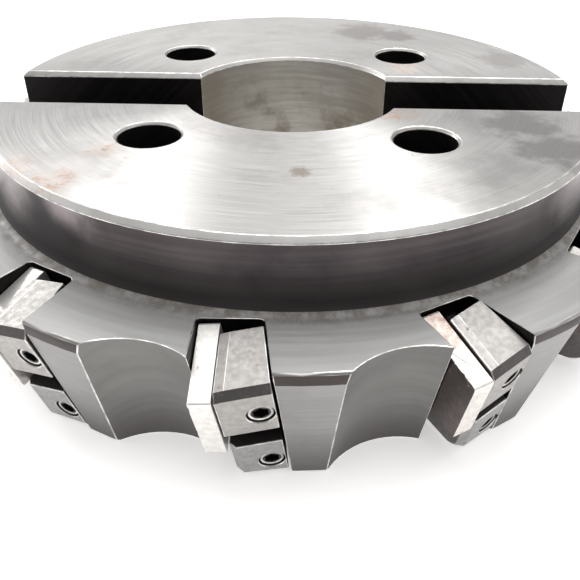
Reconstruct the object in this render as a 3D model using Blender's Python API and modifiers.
"""Shell-type face mill, 8 inch class, with twelve wedge-clamped square inserts.

The cutter stands on its cutting side. The origin is on the spindle axis, level with the
lower face, and +Z points to the flat back of the hub, where the machine spindle bolts on.
Station 1 has its radial axis along -Y and the others follow every 30 degrees towards +X.

Each station is laid out in a pocket frame whose origin is the middle of the insert:
X runs along the tooth row, from the insert towards the wedge, -Y points out of the pocket,
and Z lies in the plane of the insert. A clamp frame lies on each screw's axis: its origin
is where the axis leaves the front of the block, and -Y is the way that the screw points.
"""
import math

import bmesh
import bpy
from mathutils import Matrix, Vector

# ---- driving dimensions, metres and degrees ------------------------------------------
HEIGHT = 0.0560                # lower face to the flat back of the hub
HUB_RADIUS = 0.0874
HUB_HEIGHT = 0.0184            # back of the hub down to the flange
HUB_CHAMFER = 0.0013
ROOT_FILLET = 0.0030           # between hub wall and flange
LAND_RADIUS = 0.1070           # upright land around the flange
LAND_HEIGHT = 0.0030
LAND_CHAMFER = 0.0005
FACE_TAPER = 13.4              # the teeth draw in below the land
FOOT_CHAMFER = 0.0008          # lower edge of the teeth

BORE_RADIUS = 0.03175          # 2.500 in pilot
BORE_CHAMFER = 0.0010
KEYWAY_WIDTH = 0.0254          # 1.000 in drive keys
KEYWAY_DEPTH = 0.0143
KEYWAY_CHAMFER = 0.0013
BOLT_CIRCLE_RADIUS = 0.0508    # 4.000 in bolt circle
BOLT_HOLES = 4
BOLT_HOLE_RADIUS = 0.00833     # clears a 5/8 in bolt
BOLT_HOLE_CHAMFER = 0.0007
BOLT_HEAD_RADIUS = 0.0130      # counterbore in the lower face
BOLT_HEAD_DEPTH = 0.0170

STATIONS = 12
LEAD_ANGLE = 15.0              # insert and blocks lean out at the top
AXIAL_TILT = 5.2               # pocket turned about its own radial axis
RAKE_OFFSET = 0.01565          # rake face ahead of the station's radial line
INSERT_SIZE = 0.0202           # square side, the 3/4 in class
INSERT_THICKNESS = 0.00476     # 3/16 in
INSERT_CORNER = 0.0006
INSERT_INSET = 0.0098          # land down to the middle of the insert, radially
INSERT_DROP = 0.01323          # flange down to the middle of the insert

WEDGE_ANGLE = 10.0             # between the insert's back and the pocket's far wall
WEDGE_RELIEF = 0.8             # the block's far side stands off the wall by this much
SEAT_WIDTH = 0.01118           # insert's back to the far wall, level with its middle
BLOCK_FRONT = 0.0082           # front of both blocks, out from the insert's middle
BLOCK_LENGTH = 0.0158
WEDGE_TOP = 0.0011             # above the insert's upper edge
WEDGE_CHAMFER = 0.0016
SUPPORT_RISE = 0.0010          # upper side of the support block above the insert's lower edge
SUPPORT_GAP = 0.0053           # between the wedge and the support block
SUPPORT_CORNER = 0.0017        # bevel on its upright front edge, on the insert's side
SUPPORT_FOOT = 0.0004          # its lower side above the lower face of the body
SUPPORT_ROUND = 0.0026
BLOCK_EDGE = 0.0003            # broken edges on the blocks
BROKEN_ABOVE = 60.0            # edges that turn by more than this are broken

SCREW_RADIUS = 0.00275
SCREW_LENGTH = 0.0254
SCREW_RECESS = 0.0004          # end of the screw below the block's front
SCREW_TIP_CHAMFER = 0.0005
SCREW_TO_WALL = 0.0038         # screw axis to the pocket's far wall, at the block's front
WEDGE_SCREW_RISE = 0.0063      # screw axis above the wedge's lower side
SUPPORT_SCREW_DROP = 0.0081    # screw axis below the support block's upper side
SOCKET_WIDTH = 0.003175        # 1/8 in hexagon across flats
SOCKET_DEPTH = 0.0032

GULLET_RADIUS = 0.0208
GULLET_OUT = 0.01755           # gullet axis from the insert's middle, out of the pocket
GULLET_AHEAD = 0.0163          # and ahead of it

# ---- clearances -----------------------------------------------------------------------
FIT = 0.0003                   # between pieces that touch
POCKET_END = 0.00045           # behind the insert
POCKET_CORNER = 0.0011         # corner radius of the pocket
HOLE_END = 0.0010              # beyond the tip of a screw
OVERCUT = 0.0400               # how far a cutter runs past the surface it cuts

# ---- resolution ------------------------------------------------------------------------
RIM_STEPS = 120
GULLET_STEPS = 60
BOLT_STEPS = 32
SCREW_STEPS = 20
FILLET_STEPS = 4

# ---- worked-out places -----------------------------------------------------------------
FLANGE_Z = HEIGHT - HUB_HEIGHT
INSERT_RADIUS = LAND_RADIUS - INSERT_INSET
INSERT_Z = FLANGE_Z - INSERT_DROP
HALF_INSERT = INSERT_SIZE / 2
HALF_THICKNESS = INSERT_THICKNESS / 2
INSERT_AHEAD = RAKE_OFFSET - HALF_THICKNESS
FAR_WALL_X = HALF_THICKNESS + SEAT_WIDTH     # far wall where it passes the insert's middle
WEDGE_SLOPE = math.tan(math.radians(WEDGE_ANGLE))
WEDGE_TOP_Z = HALF_INSERT + WEDGE_TOP
SUPPORT_TOP_Z = SUPPORT_RISE - HALF_INSERT
WEDGE_LOW_Z = SUPPORT_TOP_Z + SUPPORT_GAP
CLAMP_X = FAR_WALL_X + BLOCK_FRONT * WEDGE_SLOPE - SCREW_TO_WALL
HOLE_RADIUS = SCREW_RADIUS + FIT
WEDGE_SCREW_Z = WEDGE_LOW_Z + WEDGE_SCREW_RISE
SUPPORT_SCREW_Z = SUPPORT_TOP_Z - SUPPORT_SCREW_DROP
NEAR_EDGE = 0.00001             # closer than this counts as the same place


def make_material(name, color, roughness, metallic=1.0):
    """A plain Principled material."""
    material = bpy.data.materials.new(name)
    material.use_nodes = True
    shader = material.node_tree.nodes["Principled BSDF"]
    shader.inputs["Base Color"].default_value = (*color, 1.0)
    shader.inputs["Roughness"].default_value = roughness
    shader.inputs["Metallic"].default_value = metallic
    return material


def make_object(name, mesh, collection, parent=None):
    """Link a mesh as an object, which takes its place from its parent."""
    obj = bpy.data.objects.new(name, mesh)
    collection.objects.link(obj)
    obj.parent = parent
    return obj


def make_empty(name, matrix, collection, parent=None):
    """An empty that carries a frame."""
    empty = bpy.data.objects.new(name, None)
    empty.empty_display_size = 0.01
    collection.objects.link(empty)
    empty.parent = parent
    empty.matrix_local = matrix
    return empty


def mesh_from(name, bm, material=None):
    """Turn a bmesh into a mesh with its faces pointing out."""
    bmesh.ops.recalc_face_normals(bm, faces=bm.faces)
    mesh = bpy.data.meshes.new(name)
    bm.to_mesh(mesh)
    bm.free()
    if material:
        mesh.materials.append(material)
    return mesh


def smooth(mesh, angle=30.0):
    """Shade round faces smooth and keep real edges sharp."""
    mesh.shade_smooth()
    mesh.set_sharp_from_angle(angle=math.radians(angle))


def box(corners):
    """A cube whose corners go where corners(side, depth, level) says, each -1 or 1."""
    bm = bmesh.new()
    bmesh.ops.create_cube(bm, size=2.0)
    for vert in bm.verts:
        side, depth, level = (round(value) for value in vert.co)
        vert.co = corners(side, depth, level)
    return bm


def edges_where(bm, test):
    """Edges whose two ends both pass a test on their place."""
    return [edge for edge in bm.edges if all(test(vert.co) for vert in edge.verts)]


def rod(radius, near, far, steps):
    """A cylinder along Y, from y = near to y = far."""
    bm = bmesh.new()
    turn = Matrix.Rotation(math.radians(90.0), 4, "X")
    move = Matrix.Translation((0.0, (near + far) / 2, 0.0))
    bmesh.ops.create_cone(bm, cap_ends=True, segments=steps, radius1=radius,
                          radius2=radius, depth=far - near, matrix=move @ turn)
    return bm


def arc(centre, radius, start, end, steps):
    """Points on an arc in the radius and height plane, from one angle to another."""
    points = []
    for step in range(steps + 1):
        angle = math.radians(start + (end - start) * step / steps)
        points.append((centre[0] + radius * math.cos(angle),
                       centre[1] + radius * math.sin(angle)))
    return points


def turned(name, profile, collection, steps):
    """A closed profile of (radius, height) points, turned about Z by a Screw modifier."""
    mesh = bpy.data.meshes.new(name)
    count = len(profile)
    edges = [(index, (index + 1) % count) for index in range(count)]
    mesh.from_pydata([(radius, 0.0, height) for radius, height in profile], edges, [])
    obj = make_object(name, mesh, collection)
    screw = obj.modifiers.new("turn", "SCREW")
    screw.axis = "Z"
    screw.angle = math.radians(360.0)
    screw.steps = steps
    screw.render_steps = steps
    screw.use_merge_vertices = True
    screw.merge_threshold = 0.00001
    screw.use_smooth_shade = True
    return obj


def cut(obj, cutter, name):
    """Take one solid out of another."""
    boolean = obj.modifiers.new(name, "BOOLEAN")
    boolean.operation = "DIFFERENCE"
    boolean.solver = "EXACT"
    boolean.object = cutter
    cutter.hide_render = True
    cutter.display_type = "WIRE"


def bake(obj, name):
    """The mesh of an object after its modifiers, as a mesh of its own."""
    depsgraph = bpy.context.evaluated_depsgraph_get()
    mesh = bpy.data.meshes.new_from_object(obj.evaluated_get(depsgraph))
    mesh.name = name
    return mesh


def pocket_matrix(index):
    """Frame of one pocket: middle of the insert, leaning out by the lead angle."""
    turn = Matrix.Rotation(math.radians(360.0 / STATIONS * index), 4, "Z")
    place = Matrix.Translation((-INSERT_AHEAD, -INSERT_RADIUS, INSERT_Z))
    lean = Matrix.Rotation(math.radians(LEAD_ANGLE), 4, "X")
    tilt = Matrix.Rotation(math.radians(-AXIAL_TILT), 4, "Y")
    return turn @ place @ lean @ tilt


def clamp_matrix(height):
    """Frame of a screw inside the pocket frame, at a height above the insert's middle."""
    place = Matrix.Translation((CLAMP_X, -BLOCK_FRONT, height))
    return place @ Matrix.Rotation(math.radians(WEDGE_ANGLE), 4, "Z")


def far_side(y):
    """Where a block's far side is, in the clamp frame, at a depth y behind its front."""
    wall = SCREW_TO_WALL * math.cos(math.radians(WEDGE_ANGLE)) - FIT
    return wall - (BLOCK_LENGTH - y) * math.tan(math.radians(WEDGE_RELIEF))


def near_side(y):
    """Where a block's insert side is, in the clamp frame, parallel to the insert."""
    reach = CLAMP_X - HALF_THICKNESS - FIT
    return -(reach / math.cos(math.radians(WEDGE_ANGLE)) - y * WEDGE_SLOPE)


def body_profile():
    """Outline of the blank: out over the hub, down the teeth, in below, up the bore."""
    taper = math.tan(math.radians(FACE_TAPER))
    land_low = FLANGE_Z - LAND_HEIGHT
    foot_radius = LAND_RADIUS - (land_low - FOOT_CHAMFER) * taper
    profile = [
        (BORE_RADIUS + BORE_CHAMFER, HEIGHT),
        (HUB_RADIUS - HUB_CHAMFER, HEIGHT),
        (HUB_RADIUS, HEIGHT - HUB_CHAMFER),
    ]
    centre = (HUB_RADIUS + ROOT_FILLET, FLANGE_Z + ROOT_FILLET)
    profile += arc(centre, ROOT_FILLET, 180.0, 270.0, FILLET_STEPS)
    profile += [
        (LAND_RADIUS - LAND_CHAMFER, FLANGE_Z),
        (LAND_RADIUS, FLANGE_Z - LAND_CHAMFER),
        (LAND_RADIUS, land_low),
        (foot_radius, FOOT_CHAMFER),
        (foot_radius - FOOT_CHAMFER, 0.0),
        (BORE_RADIUS + BORE_CHAMFER, 0.0),
        (BORE_RADIUS, BORE_CHAMFER),
        (BORE_RADIUS, HEIGHT - BORE_CHAMFER),
    ]
    return profile


def bolt_profile():
    """Bolt hole with its head counterbore, as a solid cutter."""
    mouth = BOLT_HOLE_RADIUS + BOLT_HOLE_CHAMFER
    return [
        (0.0, HEIGHT + OVERCUT),
        (mouth, HEIGHT + OVERCUT),
        (mouth, HEIGHT),
        (BOLT_HOLE_RADIUS, HEIGHT - BOLT_HOLE_CHAMFER),
        (BOLT_HOLE_RADIUS, BOLT_HEAD_DEPTH),
        (BOLT_HEAD_RADIUS, BOLT_HEAD_DEPTH),
        (BOLT_HEAD_RADIUS, -OVERCUT),
        (0.0, -OVERCUT),
    ]


def spread(name, bm, frames, collection):
    """One cutter mesh with a copy of a shape in every frame."""
    shape = bpy.data.meshes.new(name + "_one")
    bmesh.ops.recalc_face_normals(bm, faces=bm.faces)
    bm.to_mesh(shape)
    bm.free()
    joined = bmesh.new()
    for frame in frames:
        placed = shape.copy()
        placed.transform(frame)
        joined.from_mesh(placed)
        bpy.data.meshes.remove(placed)
    bpy.data.meshes.remove(shape)
    mesh = bpy.data.meshes.new(name)
    joined.to_mesh(mesh)
    joined.free()
    return make_object(name, mesh, collection)


def pocket_shape():
    """The pocket: parallel to the insert on one side, opening by the wedge angle.

    It is as deep as the insert needs, or the blocks if they reach further in."""
    reach = INSERT_SIZE + OVERCUT
    block_end = (clamp_matrix(0.0) @ Vector((far_side(BLOCK_LENGTH), BLOCK_LENGTH, 0.0))).y
    end = max(HALF_INSERT + POCKET_END, block_end + POCKET_CORNER)

    def corner(side, depth, level):
        y = end if depth > 0 else -reach
        near = -HALF_THICKNESS - FIT
        far = FAR_WALL_X - y * WEDGE_SLOPE
        return Vector((far if side > 0 else near, y, level * (HEIGHT + OVERCUT)))

    bm = box(corner)
    inner = edges_where(bm, lambda place: place.y > 0.0)
    upright = [edge for edge in inner if edge.calc_length() > 2 * HEIGHT]
    bmesh.ops.bevel(bm, geom=upright, offset=POCKET_CORNER, segments=FILLET_STEPS,
                    profile=0.5, affect="EDGES")
    return bm


def keyway_shape():
    """The drive keyway across the back of the hub, with chamfered edges."""
    half = KEYWAY_WIDTH / 2

    def corner(side, depth, level):
        z = OVERCUT if level > 0 else -KEYWAY_DEPTH
        return Vector((side * (HUB_RADIUS + OVERCUT), depth * half, HEIGHT + z))

    bm = box(corner)
    bmesh.ops.bisect_plane(bm, geom=bm.verts[:] + bm.edges[:] + bm.faces[:],
                           plane_co=(0.0, 0.0, HEIGHT), plane_no=(0.0, 0.0, 1.0))
    bmesh.ops.bisect_plane(bm, geom=bm.verts[:] + bm.edges[:] + bm.faces[:],
                           plane_co=(0.0, 0.0, HEIGHT - KEYWAY_CHAMFER),
                           plane_no=(0.0, 0.0, 1.0))
    for vert in bm.verts:
        if vert.co.z > HEIGHT - KEYWAY_CHAMFER / 2:
            vert.co.y += math.copysign(KEYWAY_CHAMFER, vert.co.y)
    return bm


def make_body(collection, cutters):
    """Cutter body: turned blank, then gullets, pockets, screw holes, bolts and keyway."""
    body = turned("cutter_body", body_profile(), collection, RIM_STEPS)
    pockets = [pocket_matrix(index) for index in range(STATIONS)]

    gullet = bmesh.new()
    bmesh.ops.create_cone(gullet, cap_ends=True, segments=GULLET_STEPS,
                          radius1=GULLET_RADIUS, radius2=GULLET_RADIUS,
                          depth=2 * (HEIGHT + OVERCUT),
                          matrix=Matrix.Translation((-GULLET_AHEAD, -GULLET_OUT, 0.0)))
    cut(body, spread("gullet_cutter", gullet, pockets, cutters), "gullets")
    cut(body, spread("pocket_cutter", pocket_shape(), pockets, cutters), "pockets")

    hole_end = SCREW_RECESS + SCREW_LENGTH + HOLE_END
    for name, height in (("wedge", WEDGE_SCREW_Z), ("support", SUPPORT_SCREW_Z)):
        hole = rod(HOLE_RADIUS, 0.0, hole_end, SCREW_STEPS)
        frames = [pocket @ clamp_matrix(height) for pocket in pockets]
        cutter = spread(name + "_screw_cutter", hole, frames, cutters)
        cut(body, cutter, name + " screw holes")

    one_bolt = turned("bolt_one", bolt_profile(), cutters, BOLT_STEPS)
    bolt = bmesh.new()
    bolt.from_mesh(bake(one_bolt, "bolt_shape"))
    bmesh.ops.remove_doubles(bolt, verts=bolt.verts, dist=NEAR_EDGE)
    bpy.data.objects.remove(one_bolt)
    frames = []
    for index in range(BOLT_HOLES):
        turn = Matrix.Rotation(math.radians(360.0 / BOLT_HOLES * (index + 0.5)), 4, "Z")
        frames.append(turn @ Matrix.Translation((BOLT_CIRCLE_RADIUS, 0.0, 0.0)))
    cut(body, spread("bolt_hole_cutter", bolt, frames, cutters), "bolt holes")
    keyway = make_object("keyway_cutter", mesh_from("keyway", keyway_shape()), cutters)
    cut(body, keyway, "keyway")

    body.data.materials.append(make_material("body_steel", (0.16, 0.16, 0.17), 0.42))
    return body


def insert_mesh(material):
    """Square carbide insert with small corner flats."""
    def corner(side, depth, level):
        return Vector((side * HALF_THICKNESS, depth * HALF_INSERT, level * HALF_INSERT))

    bm = box(corner)
    across = [edge for edge in bm.edges
              if abs(edge.verts[0].co.x - edge.verts[1].co.x) > HALF_THICKNESS]
    bmesh.ops.bevel(bm, geom=across, offset=INSERT_CORNER, segments=1, affect="EDGES")
    return mesh_from("insert", bm, material)


def block_blank(low, high):
    """A clamp block without its edges: parallel to the insert, tapered on the far side."""
    def corner(side, depth, level):
        y = BLOCK_LENGTH if depth > 0 else 0.0
        x = far_side(y) if side > 0 else near_side(y)
        return Vector((x, y, high if level > 0 else low))

    return box(corner)


def wedge_shape():
    """The wedge, with a worked upper front edge."""
    low = WEDGE_LOW_Z - WEDGE_SCREW_Z
    high = WEDGE_TOP_Z - WEDGE_SCREW_Z
    bm = block_blank(low, high)
    front = edges_where(bm, lambda place: place.y < NEAR_EDGE and place.z > high - NEAR_EDGE)
    bmesh.ops.bevel(bm, geom=front, offset=WEDGE_CHAMFER, segments=1, affect="EDGES")
    return bm


def support_shape():
    """The support block: trimmed level with the body, bevelled and rounded in front."""
    bm = block_blank(-HEIGHT, SUPPORT_TOP_Z - SUPPORT_SCREW_Z)
    frame = (pocket_matrix(0) @ clamp_matrix(SUPPORT_SCREW_Z)).inverted()
    point = frame @ Vector((0.0, 0.0, SUPPORT_FOOT))
    up = frame.to_3x3() @ Vector((0.0, 0.0, 1.0))
    trimmed = bmesh.ops.bisect_plane(bm, geom=bm.verts[:] + bm.edges[:] + bm.faces[:],
                                     plane_co=point, plane_no=-up, clear_outer=True)
    rim = [item for item in trimmed["geom_cut"] if isinstance(item, bmesh.types.BMEdge)]
    bmesh.ops.edgeloop_fill(bm, edges=rim)

    def upright(place):
        return place.y < NEAR_EDGE and place.x < 0.0

    bmesh.ops.bevel(bm, geom=edges_where(bm, upright), offset=SUPPORT_CORNER, segments=1,
                    affect="EDGES")

    def lower_front(place):
        on_foot = abs((place - point).dot(up)) < NEAR_EDGE
        return on_foot and place.y < SUPPORT_CORNER + NEAR_EDGE

    bmesh.ops.bevel(bm, geom=edges_where(bm, lower_front), offset=SUPPORT_ROUND,
                    segments=FILLET_STEPS, profile=0.5, affect="EDGES")
    return bm


def block_mesh(name, bm, cutters, material):
    """A clamp block in its clamp frame: edges broken, then its screw hole."""
    block = make_object(name + "_blank", mesh_from(name + "_blank", bm, material), cutters)
    edge = block.modifiers.new("broken edges", "BEVEL")
    edge.width = BLOCK_EDGE
    edge.segments = 1
    edge.limit_method = "ANGLE"
    edge.angle_limit = math.radians(BROKEN_ABOVE)
    hole = rod(HOLE_RADIUS, -OVERCUT, BLOCK_LENGTH + OVERCUT, SCREW_STEPS)
    cutter = make_object(name + "_hole_cutter", mesh_from(name + "_hole", hole), cutters)
    cut(block, cutter, "screw hole")
    mesh = bake(block, name)
    smooth(mesh)
    bpy.data.objects.remove(block)
    return mesh


def screw_mesh(cutters, material):
    """Socket screw along Y, with its hexagon socket at the outer end."""
    near = SCREW_RECESS
    far = SCREW_RECESS + SCREW_LENGTH
    bm = rod(SCREW_RADIUS, near, far, SCREW_STEPS)
    ends = [edge for edge in bm.edges
            if abs(edge.verts[0].co.y - edge.verts[1].co.y) < NEAR_EDGE]
    bmesh.ops.bevel(bm, geom=ends, offset=SCREW_TIP_CHAMFER, segments=1, affect="EDGES")
    screw = make_object("screw_blank", mesh_from("screw_blank", bm, material), cutters)
    corner_radius = SOCKET_WIDTH / math.sqrt(3.0)
    socket = rod(corner_radius, near - OVERCUT, near + SOCKET_DEPTH, 6)
    cutter = make_object("socket_cutter", mesh_from("socket", socket), cutters)
    cut(screw, cutter, "socket")
    mesh = bake(screw, "wedge_screw")
    smooth(mesh)
    bpy.data.objects.remove(screw)
    return mesh


def main():
    for obj in list(bpy.data.objects):
        bpy.data.objects.remove(obj)
    scene = bpy.context.scene
    collection = bpy.data.collections.new("face_mill")
    cutters = bpy.data.collections.new("face_mill_cutters")
    scene.collection.children.link(collection)
    scene.collection.children.link(cutters)

    make_body(collection, cutters)
    carbide = make_material("ground_carbide", (0.78, 0.76, 0.73), 0.25)
    wedge_steel = make_material("wedge_steel", (0.45, 0.44, 0.43), 0.38)
    support_steel = make_material("support_steel", (0.38, 0.38, 0.38), 0.40)
    screw_steel = make_material("screw_steel", (0.10, 0.10, 0.11), 0.35)

    insert = insert_mesh(carbide)
    wedge = block_mesh("wedge", wedge_shape(), cutters, wedge_steel)
    support = block_mesh("support", support_shape(), cutters, support_steel)
    screw = screw_mesh(cutters, screw_steel)

    for index in range(STATIONS):
        number = f"{index + 1:02d}"
        pocket = make_empty("pocket_" + number, pocket_matrix(index), collection)
        make_object("insert_" + number, insert, collection, pocket)
        upper = make_empty("upper_clamp_" + number, clamp_matrix(WEDGE_SCREW_Z),
                           collection, pocket)
        make_object("wedge_" + number, wedge, collection, upper)
        make_object("wedge_screw_" + number, screw, collection, upper)
        lower = make_empty("lower_clamp_" + number, clamp_matrix(SUPPORT_SCREW_Z),
                           collection, pocket)
        make_object("support_block_" + number, support, collection, lower)


main()
